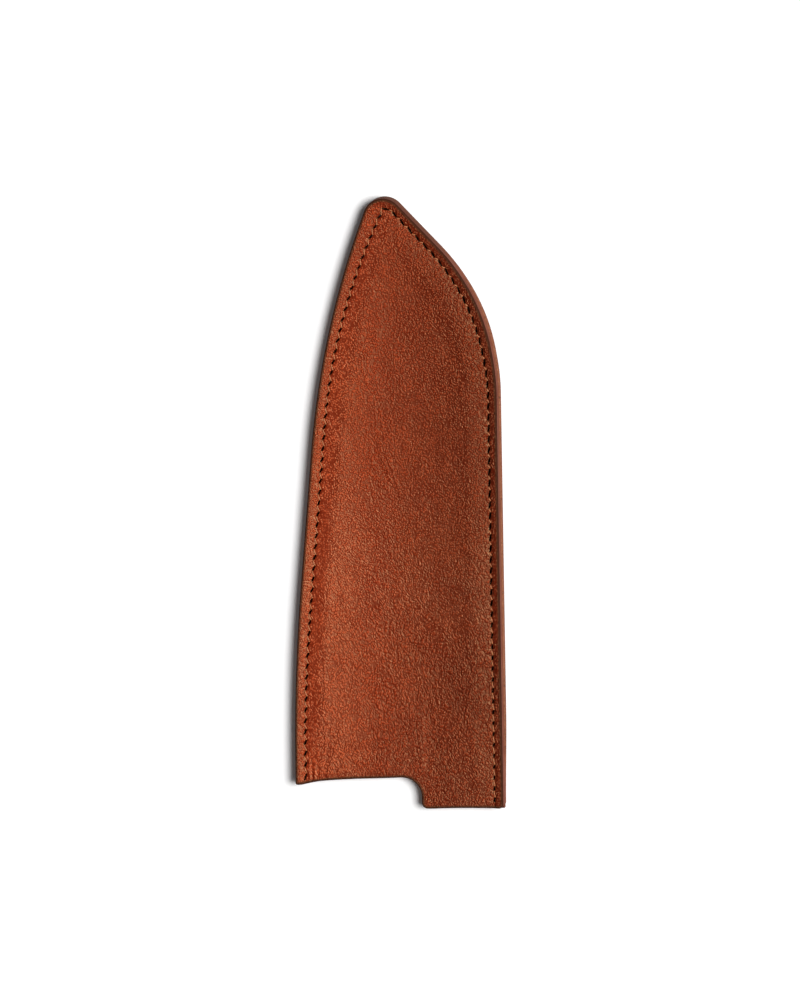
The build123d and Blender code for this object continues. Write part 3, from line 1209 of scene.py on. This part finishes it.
def camera_at_photo():
    """Camera at the photograph's viewing angle, far away with a long lens."""
    right = Vector((math.cos(view_right), 0, -math.sin(view_right)))
    towards = Vector(
        (
            math.sin(view_right) * math.cos(view_up),
            math.sin(view_up),
            math.cos(view_right) * math.cos(view_up),
        )
    )
    up = towards.cross(right)
    cos, sin = math.cos(view_roll), math.sin(view_roll)
    right, up = right * cos + up * sin, up * cos - right * sin
    data = bpy.data.cameras.new("camera")
    data.sensor_fit = "VERTICAL"
    data.sensor_height = sensor_height
    data.lens = sensor_height * camera_distance / frame_height
    data.clip_end = 50
    camera = placed("camera", data)
    position = (Vector(aim) + towards * camera_distance) * MM
    turn = Matrix((right, up, towards)).transposed().to_4x4()
    camera.matrix_world = Matrix.Translation(position) @ turn
    bpy.context.scene.camera = camera


def floor_material():
    """White paper floor that keeps the shadow."""
    nodes = Nodes("floor")
    camera_ray = nodes.add("LightPath", output="Is Camera Ray")
    colour = nodes.mix(camera_ray, floor_colour, white)
    nodes.put(nodes.shader.inputs["Base Color"], colour)
    nodes.shader.inputs["Roughness"].default_value = 1.0
    nodes.shader.inputs["Specular IOR Level"].default_value = 0.0
    nodes.shader.inputs["Emission Color"].default_value = white
    nodes.put(nodes.shader.inputs["Emission Strength"], nodes.math("MULTIPLY", camera_ray, 0.03))
    return nodes.material


def floor(size=12.0, drop=0.0001):
    data = bpy.data.meshes.new("floor")
    half = size / 2
    signs = ((-1, -1), (1, -1), (1, 1), (-1, 1))
    corners = [(half * across, half * up, -drop) for across, up in signs]
    data.from_pydata(corners, [], [(0, 1, 2, 3)])
    data.materials.append(floor_material())
    placed("floor", data)


def lamp(name, towards, strength, degrees):
    """Large soft lamp far away in a direction."""
    data = bpy.data.lights.new(name, "SUN")
    data.energy = strength
    data.angle = math.radians(degrees)
    piece = placed(name, data)
    piece.rotation_euler = Vector(towards).to_track_quat("Z", "Y").to_euler()


def studio(fill):
    """White surroundings that light the sheath a little and look white to the camera."""
    world = bpy.data.worlds.new("studio")
    world.use_nodes = True
    bpy.context.scene.world = world
    tree = world.node_tree
    background = tree.nodes["Background"]
    background.inputs["Color"].default_value = white
    path = tree.nodes.new("ShaderNodeLightPath")
    strength = tree.nodes.new("ShaderNodeMapRange")
    strength.inputs["To Min"].default_value = fill
    strength.inputs["To Max"].default_value = 1.0
    tree.links.new(path.outputs["Is Camera Ray"], strength.inputs["Value"])
    tree.links.new(strength.outputs["Result"], background.inputs["Strength"])


camera_at_photo()
floor()
lamp("key", towards=(0.5, 0.11, 0.83), strength=3.1, degrees=26)
lamp("side", towards=(0.62, 0.12, 0.62), strength=0.95, degrees=50)
studio(fill=0.05)
bpy.context.scene.view_settings.view_transform = "Standard"
